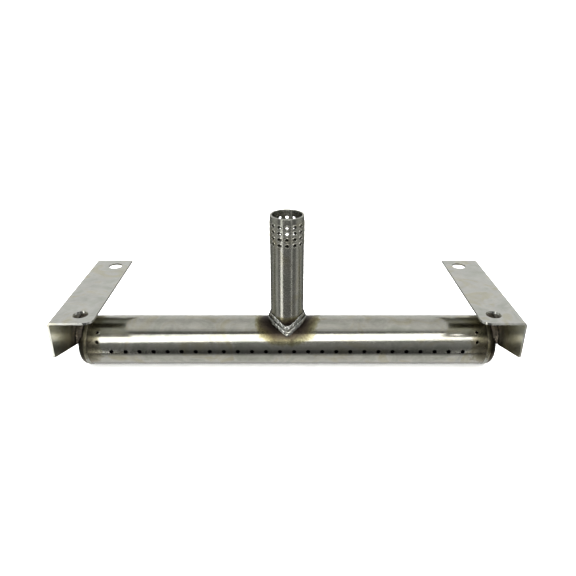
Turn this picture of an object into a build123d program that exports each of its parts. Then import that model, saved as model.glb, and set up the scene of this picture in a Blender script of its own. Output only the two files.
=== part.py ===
from build123d import *
from math import atan2, cos, degrees, radians, sin
import os

# A straight-tube gas burner that hangs from two folded brackets. Gas and air enter the
# open top of the inlet tube, mix on the way down, and leave by the rows of ports along
# the two sides of the burner tube. Every joint is a weld: nothing on it moves.
#
# Millimetres. X runs along the burner tube and Z points up the inlet tube. The origin is
# the middle of the four bolt holes, in the plane of the brackets' top faces.

# Burner tube and its end caps
burner_length = 318.0        # from one cap's flat face to the other
tube_diameter = 38.0
tube_wall = 1.5
cap_corner = 4.0             # outside radius that the cap is pressed to
cap_wall = 1.5

# Ports: one level row along each side, with lighting ports above the front row's ends
port_diameter = 3.2
port_pitch = 10.65
port_margin = 25.0           # least distance from a cap's face to the last port
lighting_diameter = 2.4
lighting_margin = 15.5       # cap's face to the lighting ports
lighting_angles = (22.5, 45.0)   # degrees above the row of ports

# Inlet tube and the air holes round its top
inlet_diameter = 25.0
inlet_wall = 1.5
inlet_rise = 102.5           # burner tube's axis to the inlet's rim
rim_round = 0.4
air_hole_diameter = 2.6
air_columns = 14
air_rows = 4
air_row_pitch = 4.5
air_rim_margin = 6.2         # rim to the middle of the first row

# Brackets, each folded from one sheet: a level flange and an upright web
sheet = 1.5
bend_radius = 1.0            # inside the fold
axis_drop = 44.5             # flange's top face to the burner tube's axis
flange_length = 110.0        # across the burner tube
flange_width = 30.0          # from the web's outer face inwards
flange_corner = 6.0          # round on the front inner corner
web_end_depth = 27.0         # flange's top face to the web's lower corners
web_corner = 1.5
web_toe_round = 8.0          # round at the web's lowest point
bolt_hole_diameter = 10.5
bolt_edge = 11.0             # hole's centre to the flange's inner edge
bolt_end = 12.0              # hole's centre to the flange's end

# Welds
saddle_leg = 5.0             # inlet tube to burner tube
seam_width = 3.0             # cap to burner tube
seam_crown = 0.5
seam_clearance = 0.5         # plain skirt left between the seam and the cap's corner
bracket_leg = 3.0            # web to cap
bracket_weld_end = 4.0       # degrees that the bead stops short of the web's edge

# Places that follow from the sizes above
tube_radius = tube_diameter / 2
inlet_radius = inlet_diameter / 2
inlet_bore_radius = inlet_radius - inlet_wall
burner_half = burner_length / 2
cap_skirt = seam_width / 2 + seam_clearance
tube_half = burner_half - cap_corner - cap_skirt
axis_height = -axis_drop
rim_height = axis_height + inlet_rise
ports_each_side = int((burner_half - port_margin) / port_pitch + 0.5)
ports_in_row = 2 * ports_each_side
lighting_span = 2 * (burner_half - lighting_margin)
web_outer = burner_half + sheet
flange_inner = web_outer - flange_width
bolt_reach = flange_inner + bolt_edge
bolt_spacing = flange_length - 2 * bolt_end
web_slope = degrees(atan2(axis_drop - web_end_depth, flange_length / 2))
bracket_weld_start = web_slope + bracket_weld_end

tube_axis = Axis((0, 0, axis_height), (-1, 0, 0))
across_tube = Plane(origin=(0, 0, axis_height), x_dir=(0, 1, 0), z_dir=(1, 0, 0))


def along_tube(elevation):
    """A plane that holds the tube's axis as its x, and points its y out of the tube's
    front at this many degrees above level."""
    lean = radians(elevation)
    return Plane(
        origin=(0, 0, axis_height),
        x_dir=(1, 0, 0),
        z_dir=(0, -sin(lean), -cos(lean)),
    )


def facing_tube(elevation):
    """A plane through the tube's axis that faces out of the tube's front at this many
    degrees above level."""
    lean = radians(elevation)
    return Plane(
        origin=(0, 0, axis_height),
        x_dir=(1, 0, 0),
        z_dir=(0, -cos(lean), sin(lean)),
    )


# The burner tube: the ports go straight through both walls, and the opening under the
# inlet is as wide as the inlet's bore.
with BuildPart() as burner_tube:
    with BuildSketch(across_tube):
        Circle(tube_radius)
        Circle(tube_radius - tube_wall, mode=Mode.SUBTRACT)
    extrude(amount=tube_half, both=True)
    with BuildSketch(Plane.XY.offset(axis_height)):
        Circle(inlet_bore_radius)
    extrude(amount=tube_radius, mode=Mode.SUBTRACT)
    with BuildSketch(facing_tube(0)):
        with GridLocations(port_pitch, 0, ports_in_row, 1):
            Circle(port_diameter / 2)
    extrude(amount=tube_radius, both=True, mode=Mode.SUBTRACT)
    for elevation in lighting_angles:
        with BuildSketch(facing_tube(elevation)):
            with GridLocations(lighting_span, 0, 2, 1):
                Circle(lighting_diameter / 2)
        extrude(amount=tube_radius, mode=Mode.SUBTRACT)

# The inlet tube: its foot is coped to the burner tube's outside, and its rim is open.
with BuildPart() as inlet_tube:
    with BuildSketch(Plane.XY.offset(axis_height)):
        Circle(inlet_radius)
        Circle(inlet_bore_radius, mode=Mode.SUBTRACT)
    extrude(amount=inlet_rise)
    with BuildSketch(across_tube):
        Circle(tube_radius)
    extrude(amount=inlet_diameter, both=True, mode=Mode.SUBTRACT)
    rim = inlet_tube.edges().group_by(Axis.Z)[-1]
    fillet(rim, radius=rim_round)
    for row in range(air_rows):
        row_height = rim_height - air_rim_margin - row * air_row_pitch
        with Locations((0, 0, row_height)):
            with PolarLocations(inlet_radius, air_columns, start_angle=-90):
                Cylinder(
                    air_hole_diameter / 2,
                    4 * inlet_wall,
                    rotation=(0, 90, 0),
                    mode=Mode.SUBTRACT,
                )

# The saddle weld: where the two tubes cross, the corner is filled to an equal leg along
# each of them, and what is left after the tubes are taken away is the bead.
with BuildPart() as inlet_weld:
    with BuildSketch(across_tube):
        Circle(tube_radius)
    extrude(amount=inlet_diameter, both=True)
    with BuildSketch(Plane.XY.offset(axis_height)):
        Circle(inlet_radius)
    extrude(amount=2 * tube_radius)
    crossing = inlet_weld.edges(Select.LAST).filter_by(GeomType.CIRCLE, reverse=True)
    chamfer(crossing, length=saddle_leg)
    with BuildSketch(across_tube):
        Circle(tube_radius)
    extrude(amount=inlet_diameter, both=True, mode=Mode.SUBTRACT)
    with BuildSketch(Plane.XY.offset(axis_height)):
        Circle(inlet_radius)
    extrude(amount=2 * tube_radius, mode=Mode.SUBTRACT)

# A pressed end cap: a short skirt, a rounded corner and a flat face.
with BuildPart() as end_cap_right:
    with BuildSketch(along_tube(0)):
        with BuildLine():
            FilletPolyline(
                (tube_half, tube_radius),
                (burner_half, tube_radius),
                (burner_half, 0),
                radius=cap_corner,
            )
            offset(amount=cap_wall, side=Side.RIGHT)
        make_face()
    revolve(axis=tube_axis)

# The seam between cap and tube: a low crowned bead all the way round.
with BuildPart() as cap_weld_right:
    with BuildSketch(along_tube(0)):
        with BuildLine():
            toe = (tube_half - seam_width / 2, tube_radius)
            crown = (tube_half, tube_radius + seam_crown)
            heel = (tube_half + seam_width / 2, tube_radius)
            ThreePointArc(toe, crown, heel)
            Line(heel, toe)
        make_face()
    revolve(axis=tube_axis)

# A bracket: the fold, then the web's two slopes down to the tube's axis, then the holes.
with BuildPart() as bracket_right:
    with BuildSketch(Plane.XZ):
        with BuildLine():
            FilletPolyline(
                (flange_inner, 0),
                (web_outer, 0),
                (web_outer, axis_height),
                radius=bend_radius + sheet,
            )
            offset(amount=sheet, side=Side.RIGHT)
        make_face()
    extrude(amount=flange_length / 2, both=True)
    with BuildSketch(Plane.YZ):
        with BuildLine():
            Polyline(
                (0, axis_height),
                (flange_length / 2, -web_end_depth),
                (flange_length / 2, axis_height),
                close=True,
            )
        make_face()
        mirror(about=Plane.YZ)
    extrude(amount=web_outer, mode=Mode.SUBTRACT)
    web_corners = bracket_right.edges().filter_by(Axis.X).group_by(Axis.Z)
    fillet(web_corners[1], radius=web_corner)
    web_toe = bracket_right.edges().filter_by(Axis.X).group_by(Axis.Z)[0]
    fillet(web_toe, radius=web_toe_round)
    flange_corners = bracket_right.edges().filter_by(Axis.Z).group_by(Axis.X)[0]
    fillet(flange_corners.sort_by(Axis.Y)[0], radius=flange_corner)
    with Locations((bolt_reach, 0, 0)):
        with GridLocations(0, bolt_spacing, 1, 2):
            Hole(bolt_hole_diameter / 2)

# The bracket's weld: it fills the groove between the web and the cap's rounded corner,
# from one side of the web, over the top of the tube, to the other side.
with BuildPart() as bracket_weld_right:
    with BuildSketch(along_tube(bracket_weld_start)):
        with BuildLine():
            groove = CenterArc(
                (burner_half - cap_corner, tube_radius - cap_corner),
                cap_corner,
                0,
                90,
            )
            Line(groove @ 1, (burner_half, tube_radius + bracket_leg))
            Line((burner_half, tube_radius + bracket_leg), groove @ 0)
        make_face()
    revolve(axis=tube_axis, revolution_arc=180 - 2 * bracket_weld_start)

# The left end is the right end's mirror image.
with BuildPart() as end_cap_left:
    mirror(end_cap_right.part, about=Plane.YZ)

with BuildPart() as cap_weld_left:
    mirror(cap_weld_right.part, about=Plane.YZ)

with BuildPart() as bracket_left:
    mirror(bracket_right.part, about=Plane.YZ)

with BuildPart() as bracket_weld_left:
    mirror(bracket_weld_right.part, about=Plane.YZ)

pieces = {
    "burner_tube": burner_tube,
    "inlet_tube": inlet_tube,
    "inlet_weld": inlet_weld,
    "end_cap_left": end_cap_left,
    "end_cap_right": end_cap_right,
    "cap_weld_left": cap_weld_left,
    "cap_weld_right": cap_weld_right,
    "bracket_left": bracket_left,
    "bracket_right": bracket_right,
    "bracket_weld_left": bracket_weld_left,
    "bracket_weld_right": bracket_weld_right,
}

os.makedirs("parts", exist_ok=True)
for name, piece in pieces.items():
    piece.part.label = name
    export_step(piece.part, f"parts/{name}.step")
    print(name, "volume", round(piece.part.volume, 1), "solids", len(piece.part.solids()))
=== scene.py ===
# %% [markdown]
# # A straight-tube gas burner in bare stainless steel
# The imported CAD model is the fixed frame: two tubes, two end caps, two folded brackets and
# the weld beads between them. The metal shapes are right already, so most of the work is
# finish: polished tube, dull rolled sheet, and steel that heat has coloured. Only the weld
# beads are modelled again, because a real bead is rippled and the CAD one is smooth.

import math

import bmesh
import bpy
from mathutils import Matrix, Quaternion, Vector, noise


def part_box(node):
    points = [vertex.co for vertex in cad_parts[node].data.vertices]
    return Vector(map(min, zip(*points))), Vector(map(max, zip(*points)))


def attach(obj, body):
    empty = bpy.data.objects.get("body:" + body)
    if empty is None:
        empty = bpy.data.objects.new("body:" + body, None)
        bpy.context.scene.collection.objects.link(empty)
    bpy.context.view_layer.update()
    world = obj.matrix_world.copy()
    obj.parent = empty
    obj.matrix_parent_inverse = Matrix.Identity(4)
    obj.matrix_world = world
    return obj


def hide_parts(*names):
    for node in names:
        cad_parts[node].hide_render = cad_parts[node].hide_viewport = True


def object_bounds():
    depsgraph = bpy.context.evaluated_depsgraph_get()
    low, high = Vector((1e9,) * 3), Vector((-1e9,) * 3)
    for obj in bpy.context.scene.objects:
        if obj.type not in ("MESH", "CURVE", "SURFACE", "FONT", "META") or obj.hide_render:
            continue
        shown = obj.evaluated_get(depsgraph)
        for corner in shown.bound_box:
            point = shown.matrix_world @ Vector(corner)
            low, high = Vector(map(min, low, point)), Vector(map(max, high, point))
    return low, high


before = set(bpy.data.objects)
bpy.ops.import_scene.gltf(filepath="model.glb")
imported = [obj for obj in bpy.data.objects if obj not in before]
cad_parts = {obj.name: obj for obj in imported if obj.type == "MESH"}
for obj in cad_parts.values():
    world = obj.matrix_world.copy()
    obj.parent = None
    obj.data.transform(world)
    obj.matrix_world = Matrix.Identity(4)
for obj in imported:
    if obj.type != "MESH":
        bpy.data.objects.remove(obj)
cad_low, cad_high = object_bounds()
print("CAD box in metres:", list(cad_low), list(cad_high))

# %% [markdown]
# ## Sizes
# Everything is placed from the CAD pieces' own boxes, so the looks follow the model when it
# changes. MM turns a real size in millimetres into Blender's metres. Only the pattern of the
# small holes is repeated here, because a box can't tell where a hole is.

# %% Read the sizes off the frame
MM = 0.001

tube_low, tube_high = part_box("burner_tube")
inlet_low, inlet_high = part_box("inlet_tube")
saddle_low, saddle_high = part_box("inlet_weld")
seam_low, seam_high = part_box("cap_weld_right")
collar_low, collar_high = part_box("bracket_weld_right")
cap_low, cap_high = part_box("end_cap_right")

TUBE_RADIUS = (tube_high.z - tube_low.z) / 2
AXIS_Z = (tube_high.z + tube_low.z) / 2
SEAM_X = tube_high.x
CAP_FACE_X = cap_high.x
INLET_RADIUS = (inlet_high.x - inlet_low.x) / 2
RIM_Z = inlet_high.z
SADDLE_LEG = saddle_high.x - INLET_RADIUS
SEAM_HALF_WIDTH = (seam_high.x - seam_low.x) / 2
SEAM_CROWN = seam_high.z - AXIS_Z - TUBE_RADIUS
COLLAR_LEG = collar_high.z - AXIS_Z - TUBE_RADIUS
COLLAR_TOE_X = collar_low.x
COLLAR_START = math.acos(collar_high.y / (TUBE_RADIUS + COLLAR_LEG))
SADDLE_DROP = math.sqrt(TUBE_RADIUS**2 - INLET_RADIUS**2)
SADDLE_LOW_Z = AXIS_Z + SADDLE_DROP
print("tube radius", TUBE_RADIUS, "inlet radius", INLET_RADIUS, "saddle leg", SADDLE_LEG)

# %% The pattern of small holes
LIGHTING_RADIUS = 1.2 * MM
LIGHTING_MARGIN = 15.5 * MM
LIGHTING_X = CAP_FACE_X - LIGHTING_MARGIN
LIGHTING_ANGLES = (22.5, 45.0)
AIR_RADIUS = 1.3 * MM
INLET_WALL = 1.5 * MM
AIR_COLUMNS = 14
AIR_ROWS = 4
AIR_ROW_PITCH = 4.5 * MM
AIR_RIM_MARGIN = 6.2 * MM
print(AIR_ROWS * AIR_COLUMNS, "air holes and", 2 * len(LIGHTING_ANGLES), "lighting ports")

# %% [markdown]
# ## Colour and node helpers
# Colours are picked as sRGB hex and turned linear once, because shaders work in linear
# light. One function adds any node, with its settings, values and links.

# %% Helpers
def linear(hex_code):
    """The linear RGBA of an sRGB colour such as "#C0C0C0"."""
    channels = [int(hex_code[i : i + 2], 16) / 255 for i in (1, 3, 5)]
    curved = [c / 12.92 if c <= 0.04045 else ((c + 0.055) / 1.055) ** 2.4 for c in channels]
    return (*curved, 1.0)


def add(tree, kind, inputs=(), stops=(), output=0, **settings):
    """Adds a node and gives back one of its outputs. An input that is a socket is linked, and
    any other is set. Inputs are a list in the sockets' order, or a dictionary by name."""
    made = tree.nodes.new(kind)
    for setting, value in settings.items():
        setattr(made, setting, value)
    pairs = inputs.items() if isinstance(inputs, dict) else enumerate(inputs)
    for socket, value in pairs:
        if isinstance(value, bpy.types.NodeSocket):
            tree.links.new(value, made.inputs[socket])
        else:
            made.inputs[socket].default_value = value
    for index, (position, colour) in enumerate(stops):
        if index >= len(made.color_ramp.elements):
            made.color_ramp.elements.new(position)
        made.color_ramp.elements[index].position = position
        made.color_ramp.elements[index].color = colour
    return made.outputs[output] if made.outputs else None


MATHS = "ShaderNodeMath"
VECTOR = "ShaderNodeVectorMath"
NOISE = "ShaderNodeTexNoise"
RAMP = "ShaderNodeValToRGB"

# %% [markdown]
# ## Where the welds' heat went
# Stainless steel grows a thin oxide film where it was hot, and the film's thickness sets its
# colour: pale straw far from the weld, then bronze and a purple brown, and a dark scale
# beside the bead. So each tint is one ramp over the distance from a weld, in millimetres.
# Noise goes on the distance, because heat never spreads in a clean ring.

# %% Position and distance in millimetres
INLET_HEAT_FADE = 1.8  # how much faster the tint fades up the inlet
COLLAR_HEAT_LOW = 3  # mm above the axis where the tint round the collars starts to fade
BURNER_SKIN = 0.3  # mm of the tube's wall that counts as its outside
HOLE_SKIN = 0.1  # mm off each face of the inlet's wall that doesn't count as a hole
RIM_BAND = 1.5  # mm of the inlet under its rim with no holes


def place_mm(tree):
    """The object's own coordinates, in millimetres."""
    metres = add(tree, "ShaderNodeTexCoord", output="Object")
    return add(tree, VECTOR, (metres, (1 / MM,) * 3), operation="MULTIPLY")


def across(tree, first, second):
    """The length of a right triangle's long side, with either side at least 0."""
    sides = [add(tree, MATHS, (side, 0.0), operation="MAXIMUM") for side in (first, second)]
    pair = add(tree, "ShaderNodeCombineXYZ", (*sides, 0.0))
    return add(tree, VECTOR, (pair,), output="Value", operation="LENGTH")


def from_saddle(tree, place):
    """From the bead round the inlet's foot. The inlet itself carried less of the heat."""
    height = add(tree, "ShaderNodeSeparateXYZ", (place,), output="Z")
    flat = add(tree, VECTOR, (place, (1, 1, 0)), operation="MULTIPLY")
    radius = add(tree, VECTOR, (flat,), output="Value", operation="LENGTH")
    toe = (INLET_RADIUS + SADDLE_LEG / 2) / MM
    aside = add(tree, MATHS, (radius, toe), operation="SUBTRACT")
    below = add(tree, MATHS, (SADDLE_LOW_Z / MM, height), operation="SUBTRACT")
    bead_top = (AXIS_Z + TUBE_RADIUS) / MM + 1
    fade = (height, INLET_HEAT_FADE, -INLET_HEAT_FADE * bead_top)
    above = add(tree, MATHS, fade, operation="MULTIPLY_ADD")
    return across(tree, aside, add(tree, MATHS, (below, above), operation="MAXIMUM"))


def from_collars(tree, place):
    """From the beads that hold the brackets, which lie over the top of each end."""
    height = add(tree, "ShaderNodeSeparateXYZ", (place,), output="Z")
    along = add(tree, "ShaderNodeSeparateXYZ", (place,), output="X")
    span = add(tree, MATHS, (along,), operation="ABSOLUTE")
    inward = add(tree, MATHS, (CAP_FACE_X / MM, span), operation="SUBTRACT")
    below = add(tree, MATHS, (AXIS_Z / MM + COLLAR_HEAT_LOW, height), operation="SUBTRACT")
    return across(tree, inward, below)


def in_burner(tree, place):
    """1 inside the burner tube and in the walls of its ports, and 0 on its skin."""
    moved = add(tree, VECTOR, (place, (0, 0, -AXIS_Z / MM)), operation="ADD")
    flat = add(tree, VECTOR, (moved, (0, 1, 1)), operation="MULTIPLY")
    depth = add(tree, VECTOR, (flat,), output="Value", operation="LENGTH")
    return add(tree, MATHS, (depth, TUBE_RADIUS / MM - BURNER_SKIN), operation="LESS_THAN")


def in_air_holes(tree, place):
    """1 in the walls of the air holes, between the inlet's skin and its bore."""
    flat = add(tree, VECTOR, (place, (1, 1, 0)), operation="MULTIPLY")
    depth = add(tree, VECTOR, (flat,), output="Value", operation="LENGTH")
    middle = (INLET_RADIUS - INLET_WALL / 2) / MM
    half_wall = INLET_WALL / MM / 2 - HOLE_SKIN
    within = add(tree, MATHS, (depth, middle, half_wall), operation="COMPARE")
    height = add(tree, "ShaderNodeSeparateXYZ", (place,), output="Z")
    under_rim = add(tree, MATHS, (height, RIM_Z / MM - RIM_BAND), operation="LESS_THAN")
    return add(tree, MATHS, (within, under_rim), operation="MULTIPLY")


# %% [markdown]
# ## Steel
# All the metal is stainless steel, so the base colour is the warm grey of bare steel,
# metallic is 1 and the IOR is the default. What differs is how each surface was made:
# * the burner tube was belt polished along its length, so it mirrors the room in clear bands
#   with fine draw lines in them;
# * the inlet tube was polished as it turned, which leaves fine rings that draw a highlight
#   out up and down the tube;
# * the sheet is cold rolled, which leaves it bright but faintly grainy and cloudy;
# * the caps were pressed and then heated by two welds, so they are the dullest;
# * weld metal froze from liquid, so it is bright on its crests, and painted shade darkens
#   the hollows between them.
# Water marks and smudges from handling lie over all of them. The real draw lines are a few
# hundredths of a millimetre apart, too fine to show, so they are drawn coarser.

# %% One steel shader, set up for each finish
CLOUDS_PER_MM = 0.08  # clouds about 12 mm across
SMUDGES_PER_MM = 0.45  # smudges about 2 mm across
DENTS_PER_MM = 0.22  # slight dents about 5 mm across
MARKS_PER_MM = 0.045  # water marks about 22 mm across
CLOUDS_RAG = 0.9  # how far the clouds and smudges push a tint's edge, as a share of its reach
SMUDGES_RAG = 0.5
RAG_MIDDLE = 0.7
SCALE_ROUGHNESS = 0.22  # added where the steel is darkest with scale
SMUDGE_ROUGHNESS = 0.10
LINE_ROUGHNESS = 0.08
LINE_DEPTH = 0.003 * MM
EDGE_HIGHLIGHT_WIDTH = 0.7 * MM
CREVICE_SHADE_POWER = 2.6
HOLE_SHADE = 0.9
WATER_MARKS = ((0.36, "#F0F3EF"), (0.50, "#FFFFFF"), (0.64, "#F7F4E6"))


def steel(
    name,
    colour,
    roughness,
    grain,
    cloud,
    waves,
    tints=(),
    streaks=0.0,
    inside=None,
    edge=0.0,
    crevice=0.0,
):
    """A bare steel. grain is the polishing lines' frequency per mm along X, Y and Z, cloud how
    much the colour varies, and waves the depth in mm of the slight dents that bend
    reflections. tints are (distance function, reach in mm, ramp stops). streaks is the
    anisotropy of polish rings round the Z axis. inside is a function that is 1 inside the
    tube and in the walls of its holes, where painted shade darkens the colour. edge is how
    much a painted highlight brightens the colour along the edges, and crevice the width in
    mm of the hollows that painted shade darkens."""
    material = bpy.data.materials.new(name)
    material.use_nodes = True
    tree = material.node_tree
    tree.nodes.clear()
    place = place_mm(tree)
    stretched = add(tree, VECTOR, (place, grain), operation="MULTIPLY")
    lines = add(
        tree, NOISE, {"Vector": stretched, "Scale": 1.0, "Detail": 5.0, "Roughness": 0.7}
    )
    clouds = add(
        tree,
        NOISE,
        {
            "Vector": place,
            "Scale": CLOUDS_PER_MM,
            "Detail": 5.0,
            "Roughness": 0.62,
            "Distortion": 0.7,
        },
    )
    smudges = add(
        tree,
        NOISE,
        {
            "Vector": place,
            "Scale": SMUDGES_PER_MM,
            "Detail": 5.0,
            "Roughness": 0.72,
            "Distortion": 1.2,
        },
    )
    dents = add(
        tree, NOISE, {"Vector": place, "Scale": DENTS_PER_MM, "Detail": 2.0, "Roughness": 0.5}
    )

    bright = add(tree, MATHS, (clouds, 2 * cloud, 1 - cloud), operation="MULTIPLY_ADD")
    bright = add(tree, MATHS, (lines, cloud, bright), operation="MULTIPLY_ADD")
    bright = add(tree, MATHS, (smudges, cloud, bright), operation="MULTIPLY_ADD")
    bright = add(tree, MATHS, (bright, cloud), operation="SUBTRACT")
    # Painted highlight: the colour is brightened along the edges that the bevel finds.
    if edge:
        bevelled = add(tree, "ShaderNodeBevel", {"Radius": EDGE_HIGHLIGHT_WIDTH}, samples=4)
        normal = add(tree, "ShaderNodeNewGeometry", output="Normal")
        facing = add(tree, VECTOR, (bevelled, normal), output="Value", operation="DOT_PRODUCT")
        edge_highlight = add(tree, MATHS, (1.0, facing), operation="SUBTRACT")
        bright = add(tree, MATHS, (edge_highlight, edge, bright), operation="MULTIPLY_ADD")
    # Painted shade: ambient occlusion darkens the colour in the hollows, such as between weld
    # runs.
    if crevice:
        open_sky = add(
            tree, "ShaderNodeAmbientOcclusion", {"Distance": crevice * MM}, output="AO", samples=8
        )
        crevice_shade = add(tree, MATHS, (open_sky, CREVICE_SHADE_POWER), operation="POWER")
        bright = add(tree, MATHS, (bright, crevice_shade), operation="MULTIPLY")
    base = add(tree, VECTOR, {0: linear(colour)[:3], "Scale": bright}, operation="SCALE")

    marks = add(
        tree, NOISE, {"Vector": place, "Scale": MARKS_PER_MM, "Detail": 6.0, "Distortion": 1.5}
    )
    film = add(tree, RAMP, (marks,), stops=[(at, linear(code)) for at, code in WATER_MARKS])
    base = add(tree, VECTOR, (base, film), operation="MULTIPLY")

    scale = 0.0
    for distance_from, reach, stops in tints:
        clean = distance_from(tree, place)
        ragged = add(tree, MATHS, (clouds, CLOUDS_RAG * reach, clean), operation="MULTIPLY_ADD")
        ragged = add(tree, MATHS, (smudges, SMUDGES_RAG * reach, ragged), operation="MULTIPLY_ADD")
        ragged = add(tree, MATHS, (ragged, RAG_MIDDLE * reach), operation="SUBTRACT")
        share = add(tree, MATHS, (ragged, reach), operation="DIVIDE", use_clamp=True)
        film = add(
            tree, RAMP, (share,), stops=[(position, linear(code)) for position, code in stops]
        )
        base = add(tree, VECTOR, (base, film), operation="MULTIPLY")
        bare = add(tree, MATHS, (share, 1.0), operation="SUBTRACT")
        scale = add(tree, MATHS, (bare, -SCALE_ROUGHNESS, scale), operation="MULTIPLY_ADD")

    smudged = (smudges, SMUDGE_ROUGHNESS, roughness - SMUDGE_ROUGHNESS / 2)
    gloss = add(tree, MATHS, smudged, operation="MULTIPLY_ADD")
    gloss = add(tree, MATHS, (lines, LINE_ROUGHNESS, gloss), operation="MULTIPLY_ADD")
    gloss = add(tree, MATHS, (gloss, LINE_ROUGHNESS / 2), operation="SUBTRACT")
    gloss = add(tree, MATHS, (gloss, scale), operation="ADD", use_clamp=True)

    # Painted shade: the colour is darkened inside the burner tube and in the walls of the holes.
    if inside:
        shade = (inside(tree, place), -HOLE_SHADE, 1.0)
        dark = add(tree, MATHS, shade, operation="MULTIPLY_ADD")
        base = add(tree, VECTOR, {0: base, "Scale": dark}, operation="SCALE")

    rough = add(
        tree, "ShaderNodeBump", {"Strength": 1.0, "Distance": LINE_DEPTH, "Height": lines}
    )
    bent = add(
        tree,
        "ShaderNodeBump",
        {"Strength": 1.0, "Distance": waves * MM, "Height": dents, "Normal": rough},
    )
    inputs = {"Base Color": base, "Metallic": 1.0, "Roughness": gloss, "Normal": bent}
    if streaks:
        inputs["Anisotropic"] = streaks
        inputs["Anisotropic Rotation"] = 0.25
        inputs["Tangent"] = add(tree, "ShaderNodeTangent", direction_type="RADIAL", axis="Z")
    shader = add(tree, "ShaderNodeBsdfPrincipled", inputs)
    add(tree, "ShaderNodeOutputMaterial", (shader,))
    print("material", name, "has", len(tree.nodes), "nodes")
    return material


# %% [markdown]
# The tints are multiplied onto the steel, so white in a ramp means bare steel. The saddle
# weld went purple brown under its point, and the ends went nearly black round the collars.

# %% The finishes
SADDLE_TINT = (
    (0.00, "#483F3C"),
    (0.15, "#5A504B"),
    (0.35, "#7A7163"),
    (0.56, "#A39B80"),
    (0.78, "#D8D3B6"),
    (1.00, "#FFFFFF"),
)
COLLAR_TINT = (
    (0.00, "#423F39"),
    (0.30, "#625D54"),
    (0.60, "#A39C8C"),
    (0.85, "#DCD6C8"),
    (1.00, "#FFFFFF"),
)

burner_steel = steel(
    "polished_stainless_burner_tube",
    "#BFBEB4",
    roughness=0.165,
    grain=(0.06, 1.6, 1.6),
    cloud=0.26,
    waves=0.030,
    tints=((from_saddle, 11.5, SADDLE_TINT), (from_collars, 20.0, COLLAR_TINT)),
    inside=in_burner,
)
inlet_steel = steel(
    "polished_stainless_inlet_tube",
    "#BFBEB4",
    roughness=0.26,
    grain=(0.05, 0.05, 1.8),
    cloud=0.20,
    waves=0.012,
    tints=((from_saddle, 12.0, SADDLE_TINT),),
    streaks=0.75,
    inside=in_air_holes,
)
cap_steel = steel(
    "pressed_stainless_cap",
    "#AFACA2",
    roughness=0.26,
    grain=(0.6, 0.6, 0.6),
    cloud=0.30,
    waves=0.04,
    tints=((from_collars, 22.0, COLLAR_TINT),),
)
seam_steel = steel(
    "tig_welded_stainless_seam",
    "#C4C4BA",
    roughness=0.22,
    grain=(1.5, 1.5, 1.5),
    cloud=0.40,
    waves=0.04,
    tints=((from_collars, 12.0, COLLAR_TINT),),
    crevice=0.8,
)
sheet_steel = steel(
    "cold_rolled_stainless_sheet",
    "#D2D2CB",
    roughness=0.23,
    grain=(1.1, 0.05, 1.1),
    cloud=0.16,
    waves=0.012,
    edge=0.6,
)
bead_steel = steel(
    "tig_welded_stainless_bead",
    "#E2E2DC",
    roughness=0.11,
    grain=(1.5, 1.5, 1.5),
    cloud=0.35,
    waves=0.06,
    crevice=1.3,
)
collar_steel = steel(
    "scaled_stainless_bead",
    "#756D62",
    roughness=0.26,
    grain=(1.5, 1.5, 1.5),
    cloud=0.30,
    waves=0.06,
    crevice=1.6,
)

CAD_FINISHES = {
    "burner_tube": burner_steel,
    "inlet_tube": inlet_steel,
    "end_cap_left": cap_steel,
    "end_cap_right": cap_steel,
    "bracket_left": sheet_steel,
    "bracket_right": sheet_steel,
}
for node_name, finish in CAD_FINISHES.items():
    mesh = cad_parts[node_name].data
    mesh.materials.clear()
    mesh.materials.append(finish)

# %% [markdown]
# ## Weld beads
# A weld is laid as a string of small puddles, each freezing over the edge of the last, so it
# shows a row of crescents like a fallen stack of coins. Each bead is swept: at every step
# along it there are two toes, where it meets the two pieces, and a root behind. The skin
# between the toes bulges, and every ripple lifts it again. A hand never keeps still, so noise
# sways each run and swells it. The toes sink a little into the steel, so that no gap shows.

# %% Sweep a bead
ACROSS = 27  # faces from toe to toe
RIPPLE_SAMPLES = 7  # rings to a ripple
CRESCENT = 0.9  # how far a ripple's edges trail its middle, in ripples
STAGGER = 0.4  # how far the ripples of one run lie behind the next run's
SWAY, SWAY_RATE = 0.14, 0.4  # size, and changes per ripple
WANDER, WANDER_RATE = 0.5, 0.9
SWELL, SWELL_RATE = 0.60, 0.45


def smooth_piece(name, form, finish):
    """Turns a finished bmesh into a smooth object with one material."""
    bmesh.ops.recalc_face_normals(form, faces=form.faces)
    mesh = bpy.data.meshes.new(name)
    form.to_mesh(mesh)
    form.free()
    mesh.polygons.foreach_set("use_smooth", [True] * len(mesh.polygons))
    mesh.materials.append(finish)
    piece = bpy.data.objects.new(name, mesh)
    bpy.context.scene.collection.objects.link(piece)
    return piece


def arch(u):
    """A half-round from 0 to 1."""
    return math.sqrt(max(0.0, 1 - (2 * u - 1) ** 2))


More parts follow.
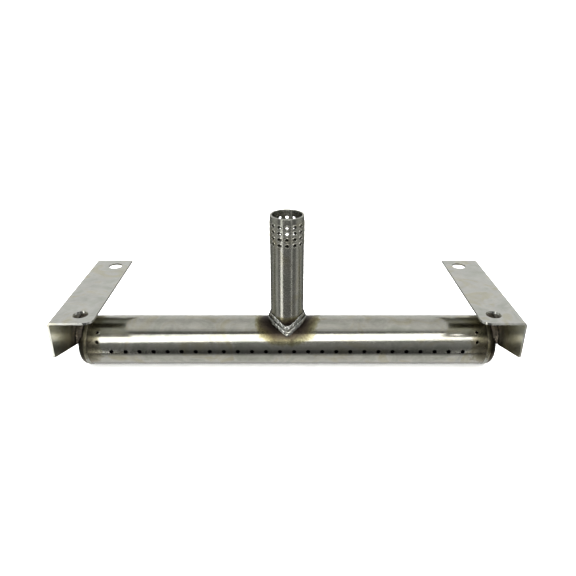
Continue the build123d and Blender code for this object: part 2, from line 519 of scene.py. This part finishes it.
def bead(
    name, toes, length, closed, ripple_step, crown, ripple_height, passes, node_names, seed, finish
):
    """Sweeps a rippled bead. toes(s) gives the upper toe, lower toe and root at s from 0 to 1.
    passes are (from, to) shares of the width, one for each run of weld laid side by side."""
    ripples = max(3, round(length / ripple_step))
    rings = ripples * RIPPLE_SAMPLES
    form = bmesh.new()
    rows = []
    for ring in range(rings if closed else rings + 1):
        s = ring / rings
        upper, lower, root = toes(s)
        outward = ((upper + lower) / 2 - root).normalized()
        row = [form.verts.new(root)]
        for step in range(ACROSS + 1):
            t = step / ACROSS
            lift = 0.0
            for index, (start, end) in enumerate(passes):
                place = Vector((s * ripples * SWAY_RATE, index * 5.0, seed + 9))
                sway = SWAY * noise.noise(place)
                u = (t + sway * arch(t) - start) / (end - start)
                if not 0 < u < 1:
                    continue
                place = Vector((s * ripples * WANDER_RATE, index * 7.0, seed))
                wander = WANDER * noise.noise(place)
                crescent = CRESCENT * (2 * u - 1) ** 2
                phase = (s * ripples + wander + crescent + index * STAGGER) % 1.0
                scale = 1 - (2 * phase - 1) ** 2
                place = Vector((s * ripples * SWELL_RATE, index * 3.0, seed + 5))
                swell = 1 + SWELL * noise.noise(place)
                lift = max(lift, arch(u) * (crown * swell + ripple_height * scale))
            row.append(form.verts.new(upper.lerp(lower, t) + outward * lift))
        rows.append(row)
    count = len(rows)
    for ring in range(count if closed else count - 1):
        here, there = rows[ring], rows[(ring + 1) % count]
        for step in range(len(here)):
            after = (step + 1) % len(here)
            form.faces.new((here[step], here[after], there[after], there[step]))
    if not closed:
        form.faces.new(rows[0][::-1])
        form.faces.new(rows[-1])
    piece = smooth_piece(name, form, finish)
    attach(piece, "root")
    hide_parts(*node_names)
    print(name, "has", ripples, "ripples and", len(piece.data.vertices), "points")


# %% [markdown]
# The saddle bead follows the curve where the two tubes cross. On the burner tube the toe
# lies one leg out from that curve. To find it, the tube is unrolled flat, the leg is stepped
# off square to the curve, and the tube is rolled up again. The welder ran straight arms that
# meet in a point at the front and at the back, so the leg is longest there, and halfway
# between a point and a side the bead climbs highest up the inlet. Two runs lie side by side.

# %% The saddle bead round the inlet's foot
SINK = 0.12 * MM
FRONT_LEG = 4.7 * MM
SIDE_LEG = 1.7 * MM
POINT_DEGREES = 32
CLIMB = 4.6 * MM
CLIMB_EXTRA = 3.0 * MM


def saddle_toes(s):
    turn = 2 * math.pi * s
    side, front = math.cos(turn), math.sin(turn)
    lean = math.asin(INLET_RADIUS * front / TUBE_RADIUS)
    rise = TUBE_RADIUS * math.cos(lean)
    step_along, step_round = side / math.cos(lean), front
    size = math.hypot(step_along, step_round)
    off_front = math.degrees(math.acos(min(1.0, abs(front))))
    point = max(0.0, 1 - off_front / POINT_DEGREES) ** 1.5
    leg = SIDE_LEG + (FRONT_LEG - SIDE_LEG) * point
    climb = CLIMB + CLIMB_EXTRA * math.sin(2 * turn) ** 2
    along = INLET_RADIUS * side + leg * step_along / size
    roll = lean + leg * step_round / size / TUBE_RADIUS
    skin = TUBE_RADIUS - SINK
    upper = Vector(
        (
            (INLET_RADIUS - SINK) * side,
            (INLET_RADIUS - SINK) * front,
            AXIS_Z + rise + climb,
        )
    )
    lower = Vector((along, skin * math.sin(roll), AXIS_Z + skin * math.cos(roll)))
    root = Vector(
        (
            (INLET_RADIUS - 4 * SINK) * side,
            (INLET_RADIUS - 4 * SINK) * front,
            AXIS_Z + rise - 4 * SINK,
        )
    )
    return upper, lower, root


bead(
    "saddle_bead",
    saddle_toes,
    length=2 * math.pi * (INLET_RADIUS + SADDLE_LEG / 2),
    closed=True,
    ripple_step=3.8 * MM,
    crown=1.0 * MM,
    ripple_height=1.0 * MM,
    passes=((0.0, 0.46), (0.50, 1.0)),
    node_names=["inlet_weld"],
    seed=1.0,
    finish=bead_steel,
)

# %% [markdown]
# The seam between cap and tube is a thin single run, nearly flush. The bead that holds the
# bracket fills the groove between the web and the cap's rounded corner, and stops short of
# the web's edges, where it tapers away.

# %% The beads at the ends
TAPER_START = 0.35  # the collar bead's size at its tips, as a share of its full size
TAPER_RATE = 6


def ring_point(x, radius, angle):
    """A point round the burner tube, from the front over the top."""
    return Vector((x, -radius * math.cos(angle), AXIS_Z + radius * math.sin(angle)))


def end_beads(side, label, seed):
    """The seam and the bracket's bead at one end. side is -1 at the left, 1 at the right."""

    def seam_toes(s):
        angle = 2 * math.pi * s
        skin = TUBE_RADIUS - 0.3 * SINK
        return (
            ring_point(side * (SEAM_X - SEAM_HALF_WIDTH), skin, angle),
            ring_point(side * (SEAM_X + SEAM_HALF_WIDTH), skin, angle),
            ring_point(side * SEAM_X, TUBE_RADIUS - 5 * SINK, angle),
        )

    def collar_toes(s):
        angle = COLLAR_START + (math.pi - 2 * COLLAR_START) * s
        taper = min(1.0, TAPER_START + TAPER_RATE * min(s, 1 - s))
        corner_x = CAP_FACE_X - COLLAR_TOE_X
        return (
            ring_point(side * (CAP_FACE_X + SINK), TUBE_RADIUS + COLLAR_LEG * taper, angle),
            ring_point(side * (CAP_FACE_X - corner_x * taper), TUBE_RADIUS - SINK, angle),
            ring_point(side * CAP_FACE_X, TUBE_RADIUS - 4 * SINK, angle),
        )

    bead(
        f"seam_bead_{label}",
        seam_toes,
        length=2 * math.pi * TUBE_RADIUS,
        closed=True,
        ripple_step=1.5 * MM,
        crown=SEAM_CROWN * 0.55,
        ripple_height=SEAM_CROWN * 0.45,
        passes=((0.0, 1.0),),
        node_names=[f"cap_weld_{label}"],
        seed=seed,
        finish=seam_steel,
    )
    bead(
        f"collar_bead_{label}",
        collar_toes,
        length=(math.pi - 2 * COLLAR_START) * TUBE_RADIUS,
        closed=False,
        ripple_step=2.0 * MM,
        crown=0.5 * MM,
        ripple_height=0.35 * MM,
        passes=((0.0, 1.0),),
        node_names=[f"bracket_weld_{label}"],
        seed=seed + 2,
        finish=collar_steel,
    )


end_beads(-1, "left", 11.0)
end_beads(1, "right", 21.0)

# %% [markdown]
# ## Lips round the holes
# The air holes are pierced, not drilled, so a punch has pushed a small raised lip up round
# each one, and they make the tube's outline bumpy there. The lighting ports have a lower
# lip, and the main ports are drilled clean. Each lip is a turned profile, rolled onto the
# tube: the distance round the tube becomes an angle.

# %% Raise a lip round every hole
LIP_SEGMENTS = 18
LIP_ROOT = -0.8 * MM
LIP_TOE = -0.06 * MM
LIP_UNEVEN = 0.3


def lip_profile(hole, width, height):
    """(distance from the hole's centre, height over the tube) from inside to outside."""
    return [
        (hole, LIP_ROOT),
        (hole * 0.98, height * 0.5),
        (hole + width * 0.12, height * 0.92),
        (hole + width * 0.30, height),
        (hole + width * 0.55, height * 0.72),
        (hole + width * 0.80, height * 0.25),
        (hole + width * 1.05, LIP_TOE),
    ]


def inlet_point(along, turn, radius):
    """On the inlet tube: along is Z, and turn goes round from the front."""
    return Vector((radius * math.sin(turn), -radius * math.cos(turn), along))


def burner_point(along, turn, radius):
    """On the burner tube: along is X, and turn goes up from the front."""
    return ring_point(along, radius, turn)


def lips(name, holes, point, tube_radius, hole, width, height, finish):
    """One mesh with a lip at each (along, turn) hole."""
    form = bmesh.new()
    profile = lip_profile(hole, width, height)
    for index, (centre_along, centre_turn) in enumerate(holes):
        loops = []
        for segment in range(LIP_SEGMENTS):
            angle = 2 * math.pi * segment / LIP_SEGMENTS
            place = Vector((index * 2.3, math.cos(angle), math.sin(angle)))
            uneven = 1 + LIP_UNEVEN * noise.noise(place)
            loop = []
            for reach, lift in profile:
                along = centre_along + reach * math.sin(angle)
                turn = centre_turn + reach * math.cos(angle) / tube_radius
                raised = lift * uneven if lift > 0 else lift
                loop.append(form.verts.new(point(along, turn, tube_radius + raised)))
            loops.append(loop)
        for segment in range(LIP_SEGMENTS):
            here, there = loops[segment], loops[(segment + 1) % LIP_SEGMENTS]
            for step in range(len(profile) - 1):
                form.faces.new((here[step], here[step + 1], there[step + 1], there[step]))
    piece = smooth_piece(name, form, finish)
    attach(piece, "root")
    print(name, "has", len(holes), "lips")


air_holes = [
    (RIM_Z - AIR_RIM_MARGIN - row * AIR_ROW_PITCH, 2 * math.pi * column / AIR_COLUMNS)
    for row in range(AIR_ROWS)
    for column in range(AIR_COLUMNS)
]
lighting_ports = [
    (side * LIGHTING_X, math.radians(angle)) for side in (-1, 1) for angle in LIGHTING_ANGLES
]

lips(
    "air_hole_lips",
    air_holes,
    inlet_point,
    INLET_RADIUS,
    AIR_RADIUS,
    width=0.75 * MM,
    height=0.42 * MM,
    finish=inlet_steel,
)
lips(
    "lighting_port_lips",
    lighting_ports,
    burner_point,
    TUBE_RADIUS,
    LIGHTING_RADIUS,
    width=0.7 * MM,
    height=0.25 * MM,
    finish=burner_steel,
)

# %% [markdown]
# ## Floor, light and camera
# Bare metal is mostly a picture of the room, so the light matters more than the material. A
# wide soft box stands in front and above: it draws the long white band along the tube. The
# rest of the room is a smooth band of greys by height, dark in front below the box and paler
# overhead and behind, and one grey at either side. Two weak strips low at the sides put a
# glint on the webs. The floor is pale and plain, and curves up into a wall all round, so that
# every side of the burner can be looked at. The top box and the fill box only light the
# floor, and the floor isn't mirrored in the steel.

# %% The floor and backdrop
FLOOR_RADIUS = 2.2
COVE_RADIUS = 0.6
WALL_TOP = 2.6
COVE_STEPS = 16
FLOOR_SIDES = 96

cove = [math.pi / 2 * step / COVE_STEPS for step in range(COVE_STEPS + 1)]
outline = [
    (FLOOR_RADIUS + COVE_RADIUS * math.sin(angle), COVE_RADIUS * (1 - math.cos(angle)))
    for angle in cove
]
outline.append((FLOOR_RADIUS + COVE_RADIUS, WALL_TOP))
corners = [(0.0, 0.0, cad_low.z)]
for radius, height in outline:
    for side in range(FLOOR_SIDES):
        turn = 2 * math.pi * side / FLOOR_SIDES
        corners.append((radius * math.cos(turn), radius * math.sin(turn), cad_low.z + height))
faces = [(0, 1 + side, 1 + (side + 1) % FLOOR_SIDES) for side in range(FLOOR_SIDES)]
for level in range(len(outline) - 1):
    start = 1 + level * FLOOR_SIDES
    for side in range(FLOOR_SIDES):
        after = (side + 1) % FLOOR_SIDES
        faces.append(
            (start + side, start + FLOOR_SIDES + side, start + FLOOR_SIDES + after, start + after)
        )
floor_mesh = bpy.data.meshes.new("floor")
floor_mesh.from_pydata(corners, [], faces)
floor_mesh.polygons.foreach_set("use_smooth", [True] * len(floor_mesh.polygons))
floor = bpy.data.objects.new("floor", floor_mesh)
bpy.context.scene.collection.objects.link(floor)
floor.visible_glossy = False

PAPER_WHITE = "#FBFBFA"
paper = bpy.data.materials.new("matte_white_paper")
paper.use_nodes = True
paper_shader = paper.node_tree.nodes["Principled BSDF"]
paper_shader.inputs["Base Color"].default_value = linear(PAPER_WHITE)
paper_shader.inputs["Roughness"].default_value = 0.9
floor_mesh.materials.append(paper)
print("floor is", 2 * FLOOR_RADIUS, "m across, at", cad_low.z)

# %% The room that the steel reflects
# Each row is an angle and a grey: 0 is level in front, 90 overhead, 180 level behind, and an
# angle under 0 is below.
ROOM_DEGREES = (
    (-180, 0.60),
    (-172, 0.30),
    (-160, 0.16),
    (-140, 0.14),
    (-128, 0.36),
    (-112, 0.58),
    (-97, 0.75),
    (-70, 0.69),
    (-56, 0.65),
    (-50, 0.30),
    (-46, 0.06),
    (-30, 0.07),
    (-18, 0.12),
    (-6, 0.20),
    (8, 0.27),
    (20, 0.30),
    (56, 0.12),
    (65, 0.14),
    (73, 0.62),
    (82, 0.72),
    (104, 0.70),
    (120, 0.60),
    (137, 0.56),
    (150, 0.74),
    (180, 0.72),
)
SIDE_GREY = (0.42, 0.42, 0.41, 1.0)
SIDE_START, SIDE_FULL = 0.80, 0.98
world = bpy.data.worlds.new("studio_room")
bpy.context.scene.world = world
world.use_nodes = True
room = world.node_tree
room.nodes.clear()
toward = add(room, "ShaderNodeTexCoord", output="Generated")
depth = add(room, "ShaderNodeSeparateXYZ", (toward,), output="Y")
height = add(room, "ShaderNodeSeparateXYZ", (toward,), output="Z")
ahead = add(room, MATHS, (depth, -1.0), operation="MULTIPLY")
pitch = add(room, MATHS, (height, ahead), operation="ARCTAN2")
share = add(room, MATHS, (pitch, 1 / (2 * math.pi), 0.5), operation="MULTIPLY_ADD")
greys = [((degrees + 180) / 360, (value,) * 3 + (1.0,)) for degrees, value in ROOM_DEGREES]
bands = add(room, RAMP, (share,), stops=greys)
sideways = add(room, "ShaderNodeSeparateXYZ", (toward,), output="X")
sideways = add(room, MATHS, (sideways,), operation="ABSOLUTE")
to_side = add(room, "ShaderNodeMapRange", (sideways, SIDE_START, SIDE_FULL))
mixed = add(
    room,
    "ShaderNodeMix",
    {0: to_side, 6: bands, 7: SIDE_GREY},
    output=2,
    data_type="RGBA",
)
background = add(room, "ShaderNodeBackground", (mixed,))
add(room, "ShaderNodeOutputWorld", (background,))
print("the room has", len(greys), "greys by height")

# %% The lights
TARGET = Vector((0.0, 0.0, AXIS_Z))


def area_light(name, elevation, azimuth, distance, width, height, power, roll=0.0):
    """A soft box that looks at the burner. Azimuth 0 is the front, and turns to the right."""
    lamp = bpy.data.lights.new(name, "AREA")
    lamp.shape = "RECTANGLE"
    lamp.size = width
    lamp.size_y = height
    lamp.energy = power
    up, side = math.radians(elevation), math.radians(azimuth)
    away = Vector(
        (math.cos(up) * math.sin(side), -math.cos(up) * math.cos(side), math.sin(up))
    )
    holder = bpy.data.objects.new(name, lamp)
    holder.visible_camera = False
    holder.location = TARGET + away * distance
    turned = away.to_track_quat("Z", "Y") @ Quaternion((0, 0, 1), math.radians(roll))
    holder.rotation_euler = turned.to_euler()
    bpy.context.scene.collection.objects.link(holder)
    print(name, "is", width, "by", height, "m and", power, "W")
    return holder


NEAR, FAR = 1.2, 1.8
area_light(
    "front_box", elevation=36, azimuth=0, distance=NEAR, width=1.6, height=0.60, power=7.5, roll=16
)
area_light("left_strip", -24, -37, NEAR, 0.28, 0.42, 0.9)
area_light("right_strip", -24, 30, NEAR, 0.10, 0.42, 0.12)
for name, elevation, power in (("top_box", 88, 95), ("fill_box", 35, 45)):
    box = area_light(name, elevation, 0, FAR, 2.4, 2.0, power)
    box.visible_glossy = False

# %% [markdown]
# The camera stands a little above the front and looks down about 25 degrees. The standard
# view transform keeps a white floor white.

# %% The camera
CAMERA_DOWN = 25.19
CAMERA_PLACE = (0.0007, -0.3799, 0.1787)
LENS_MM = 34.76
SENSOR_MM = 36.0
camera_data = bpy.data.cameras.new("camera")
camera_data.lens = LENS_MM
camera_data.sensor_width = SENSOR_MM
camera = bpy.data.objects.new("camera", camera_data)
camera.location = CAMERA_PLACE
camera.rotation_euler = (math.radians(90 - CAMERA_DOWN), 0.0, 0.0)
bpy.context.scene.collection.objects.link(camera)
bpy.context.scene.camera = camera
bpy.context.scene.view_settings.view_transform = "Standard"
